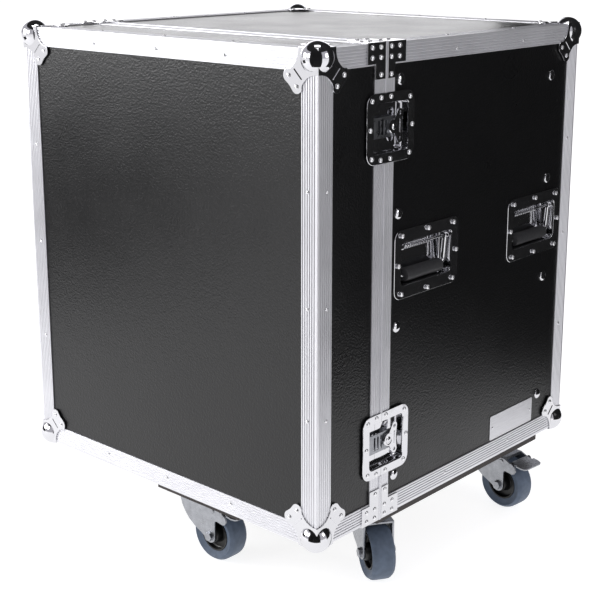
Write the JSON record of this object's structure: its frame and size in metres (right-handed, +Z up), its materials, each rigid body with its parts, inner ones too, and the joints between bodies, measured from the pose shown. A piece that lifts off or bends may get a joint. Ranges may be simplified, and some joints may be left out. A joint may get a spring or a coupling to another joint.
{
  "type": "utility case with drawers",
  "caption": "Rack flight case on casters with a lift-off front lid, butterfly latches, recessed spring handles, ball corners and drawers that slide in the rack",
  "frame": {"origin": "on the floor, under the middle of the case", "axes": "+Z up, -Y out of the lid's face, +X to the right-hand side with the caster boards below"},
  "size_m": [0.5674, 0.5722, 0.7186],
  "materials": {
    "laminate": "black laminate with a fine pebble",
    "board": "dark stained plywood",
    "aluminium": "bright anodised, grooved",
    "chrome": "polished",
    "zinc": "zinc plated",
    "enamel": "black enamel",
    "tyre": "blue-grey rubber"
  },
  "bodies": {
    "case": {"body_top_panel": "laminate", "body_bottom_panel": "laminate", "body_left_panel": "laminate", "body_right_panel": "laminate", "body_back_panel": "laminate", "body_frame": "aluminium", "caster_board": "board", "rack_frame_right": "zinc", "body_latch_dish_right_lower": "chrome", "body_latch_dish_right_upper": "chrome", "handle_dish_right_front": "chrome", "handle_dish_right_rear": "chrome", "rack_frame_left": "zinc", "body_latch_dish_left_lower": "chrome", "body_latch_dish_left_upper": "chrome", "handle_dish_left_front": "chrome", "handle_dish_left_rear": "chrome", "caster_plate_front_right": "zinc", "caster_plate_rear_right": "zinc", "caster_plate_front_left": "zinc", "caster_plate_rear_left": "zinc"},
    "lid": {"lid_latch_dish_right_lower": "chrome", "lid_latch_dish_right_upper": "chrome", "lid_latch_dish_left_lower": "chrome", "lid_latch_dish_left_upper": "chrome", "lid_face_panel": "laminate", "lid_rim_panels": "laminate", "lid_frame": "aluminium", "lid_caster_board": "board", "caster_plate_lid": "zinc"},
    "drawer_1": {"drawer_1": "enamel"},
    "drawer_2": {"drawer_2": "enamel"},
    "drawer_3": {"drawer_3": "enamel"},
    "drawer_4": {"drawer_4": "enamel"},
    "latch_butterfly_right_lower": {"latch_butterfly_right_lower": "chrome"},
    "latch_hook_right_lower": {"latch_hook_right_lower": "zinc"},
    "latch_butterfly_right_upper": {"latch_butterfly_right_upper": "chrome"},
    "latch_hook_right_upper": {"latch_hook_right_upper": "zinc"},
    "handle_bail_right_front": {"handle_bail_right_front": "zinc"},
    "handle_bail_right_rear": {"handle_bail_right_rear": "zinc"},
    "latch_butterfly_left_lower": {"latch_butterfly_left_lower": "chrome"},
    "latch_hook_left_lower": {"latch_hook_left_lower": "zinc"},
    "latch_butterfly_left_upper": {"latch_butterfly_left_upper": "chrome"},
    "latch_hook_left_upper": {"latch_hook_left_upper": "zinc"},
    "handle_bail_left_front": {"handle_bail_left_front": "zinc"},
    "handle_bail_left_rear": {"handle_bail_left_rear": "zinc"},
    "caster_fork_front_right": {"caster_fork_front_right": "zinc"},
    "caster_wheel_front_right": {"caster_wheel_front_right": "tyre"},
    "caster_fork_rear_right": {"caster_fork_rear_right": "zinc"},
    "caster_wheel_rear_right": {"caster_wheel_rear_right": "tyre"},
    "caster_pedal_rear_right": {"caster_pedal_rear_right": "zinc"},
    "caster_fork_front_left": {"caster_fork_front_left": "zinc"},
    "caster_wheel_front_left": {"caster_wheel_front_left": "tyre"},
    "caster_fork_rear_left": {"caster_fork_rear_left": "zinc"},
    "caster_wheel_rear_left": {"caster_wheel_rear_left": "tyre"},
    "caster_pedal_rear_left": {"caster_pedal_rear_left": "zinc"},
    "caster_fork_lid": {"caster_fork_lid": "zinc"},
    "caster_wheel_lid": {"caster_wheel_lid": "tyre"},
    "caster_pedal_lid": {"caster_pedal_lid": "zinc"}
  },
  "joints": [
    {"name": "lid_off", "type": "slide", "parent": "case", "child": "lid", "axis": [0, -1, 0], "range_m": [0, 0.6]},
    {"name": "drawer_1_slide", "type": "slide", "parent": "case", "child": "drawer_1", "axis": [0, -1, 0], "range_m": [0, 0.3]},
    {"name": "drawer_2_slide", "type": "slide", "parent": "case", "child": "drawer_2", "axis": [0, -1, 0], "range_m": [0, 0.3]},
    {"name": "drawer_3_slide", "type": "slide", "parent": "case", "child": "drawer_3", "axis": [0, -1, 0], "range_m": [0, 0.3]},
    {"name": "drawer_4_slide", "type": "slide", "parent": "case", "child": "drawer_4", "axis": [0, -1, 0], "range_m": [0, 0.3]},
    {"name": "latch_butterfly_right_lower_turn", "type": "hinge", "parent": "case", "child": "latch_butterfly_right_lower", "pos_m": [0.2665, -0.139, 0.212], "axis": [1, 0, 0], "range_deg": [0, 180]},
    {"name": "latch_hook_right_lower_travel", "type": "slide", "parent": "case", "child": "latch_hook_right_lower", "axis": [0, -1, 0], "range_m": [0, 0.005]},
    {"name": "latch_butterfly_right_upper_turn", "type": "hinge", "parent": "case", "child": "latch_butterfly_right_upper", "pos_m": [0.2665, -0.139, 0.61], "axis": [1, 0, 0], "range_deg": [0, 180]},
    {"name": "latch_hook_right_upper_travel", "type": "slide", "parent": "case", "child": "latch_hook_right_upper", "axis": [0, -1, 0], "range_m": [0, 0.005]},
    {"name": "handle_bail_right_front_lift", "type": "hinge", "parent": "case", "child": "handle_bail_right_front", "pos_m": [0.2585, -0.0675, 0.456], "axis": [0, -1, 0], "range_deg": [0, 90], "stiffness_Nm_per_rad": 0.1, "springref_deg": -17.19},
    {"name": "handle_bail_right_rear_lift", "type": "hinge", "parent": "case", "child": "handle_bail_right_rear", "pos_m": [0.2585, 0.1825, 0.456], "axis": [0, -1, 0], "range_deg": [0, 90], "stiffness_Nm_per_rad": 0.1, "springref_deg": -17.19},
    {"name": "latch_butterfly_left_lower_turn", "type": "hinge", "parent": "case", "child": "latch_butterfly_left_lower", "pos_m": [-0.2665, -0.139, 0.212], "axis": [-1, 0, 0], "range_deg": [0, 180]},
    {"name": "latch_hook_left_lower_travel", "type": "slide", "parent": "case", "child": "latch_hook_left_lower", "axis": [0, -1, 0], "range_m": [0, 0.005]},
    {"name": "latch_butterfly_left_upper_turn", "type": "hinge", "parent": "case", "child": "latch_butterfly_left_upper", "pos_m": [-0.2665, -0.139, 0.61], "axis": [-1, 0, 0], "range_deg": [0, 180]},
    {"name": "latch_hook_left_upper_travel", "type": "slide", "parent": "case", "child": "latch_hook_left_upper", "axis": [0, -1, 0], "range_m": [0, 0.005]},
    {"name": "handle_bail_left_front_lift", "type": "hinge", "parent": "case", "child": "handle_bail_left_front", "pos_m": [-0.2585, -0.0675, 0.456], "axis": [0, 1, 0], "range_deg": [0, 90], "stiffness_Nm_per_rad": 0.1, "springref_deg": -17.19},
    {"name": "handle_bail_left_rear_lift", "type": "hinge", "parent": "case", "child": "handle_bail_left_rear", "pos_m": [-0.2585, 0.1825, 0.456], "axis": [0, 1, 0], "range_deg": [0, 90], "stiffness_Nm_per_rad": 0.1, "springref_deg": -17.19},
    {"name": "caster_fork_front_right_swivel", "type": "hinge", "parent": "case", "child": "caster_fork_front_right", "pos_m": [0.1995, -0.0955, 0.0934], "axis": [0, 0, 1], "continuous": true},
    {"name": "caster_wheel_front_right_roll", "type": "hinge", "parent": "caster_fork_front_right", "child": "caster_wheel_front_right", "pos_m": [0.22885, -0.11456, 0.0375], "axis": [0.5446, 0.8387, 0], "continuous": true},
    {"name": "caster_fork_rear_right_swivel", "type": "hinge", "parent": "case", "child": "caster_fork_rear_right", "pos_m": [0.1995, 0.1925, 0.0934], "axis": [0, 0, 1], "continuous": true},
    {"name": "caster_wheel_rear_right_roll", "type": "hinge", "parent": "caster_fork_rear_right", "child": "caster_wheel_rear_right", "pos_m": [0.23437, 0.18945, 0.0375], "axis": [0.0872, 0.9962, 0], "continuous": true},
    {"name": "caster_pedal_rear_right_press", "type": "hinge", "parent": "caster_fork_rear_right", "child": "caster_pedal_rear_right", "pos_m": [0.25728, 0.18745, 0.0752], "axis": [0.0872, 0.9962, 0], "range_deg": [0, 15]},
    {"name": "caster_fork_front_left_swivel", "type": "hinge", "parent": "case", "child": "caster_fork_front_left", "pos_m": [-0.1995, -0.0955, 0.0934], "axis": [0, 0, 1], "continuous": true},
    {"name": "caster_wheel_front_left_roll", "type": "hinge", "parent": "caster_fork_front_left", "child": "caster_wheel_front_left", "pos_m": [-0.20558, -0.06103, 0.0375], "axis": [-0.9848, -0.1736, 0], "continuous": true},
    {"name": "caster_fork_rear_left_swivel", "type": "hinge", "parent": "case", "child": "caster_fork_rear_left", "pos_m": [-0.1995, 0.1925, 0.0934], "axis": [0, 0, 1], "continuous": true},
    {"name": "caster_wheel_rear_left_roll", "type": "hinge", "parent": "caster_fork_rear_left", "child": "caster_wheel_rear_left", "pos_m": [-0.23437, 0.18945, 0.0375], "axis": [0.0872, -0.9962, 0], "continuous": true},
    {"name": "caster_pedal_rear_left_press", "type": "hinge", "parent": "caster_fork_rear_left", "child": "caster_pedal_rear_left", "pos_m": [-0.25728, 0.18745, 0.0752], "axis": [0.0872, -0.9962, 0], "range_deg": [0, 15]},
    {"name": "caster_fork_lid_swivel", "type": "hinge", "parent": "lid", "child": "caster_fork_lid", "pos_m": [0, -0.212, 0.0934], "axis": [0, 0, 1], "continuous": true},
    {"name": "caster_wheel_lid_roll", "type": "hinge", "parent": "caster_fork_lid", "child": "caster_wheel_lid", "pos_m": [0.035, -0.212, 0.0375], "axis": [0, 1, 0], "continuous": true},
    {"name": "caster_pedal_lid_press", "type": "hinge", "parent": "caster_fork_lid", "child": "caster_pedal_lid", "pos_m": [0.058, -0.212, 0.0752], "axis": [0, 1, 0], "range_deg": [0, 15]}
  ],
  "couplings": [
    {"joint": "drawer_1_slide", "follows": "lid_off", "ratio": 0.5},
    {"joint": "drawer_2_slide", "follows": "lid_off", "ratio": 0.5},
    {"joint": "drawer_3_slide", "follows": "lid_off", "ratio": 0.5},
    {"joint": "drawer_4_slide", "follows": "lid_off", "ratio": 0.5},
    {"joint": "latch_hook_right_lower_travel", "follows": "latch_butterfly_right_lower_turn", "m_per_rad": 0.00159},
    {"joint": "latch_hook_right_upper_travel", "follows": "latch_butterfly_right_upper_turn", "m_per_rad": 0.00159},
    {"joint": "latch_hook_left_lower_travel", "follows": "latch_butterfly_left_lower_turn", "m_per_rad": 0.00159},
    {"joint": "latch_hook_left_upper_travel", "follows": "latch_butterfly_left_upper_turn", "m_per_rad": 0.00159}
  ]
}
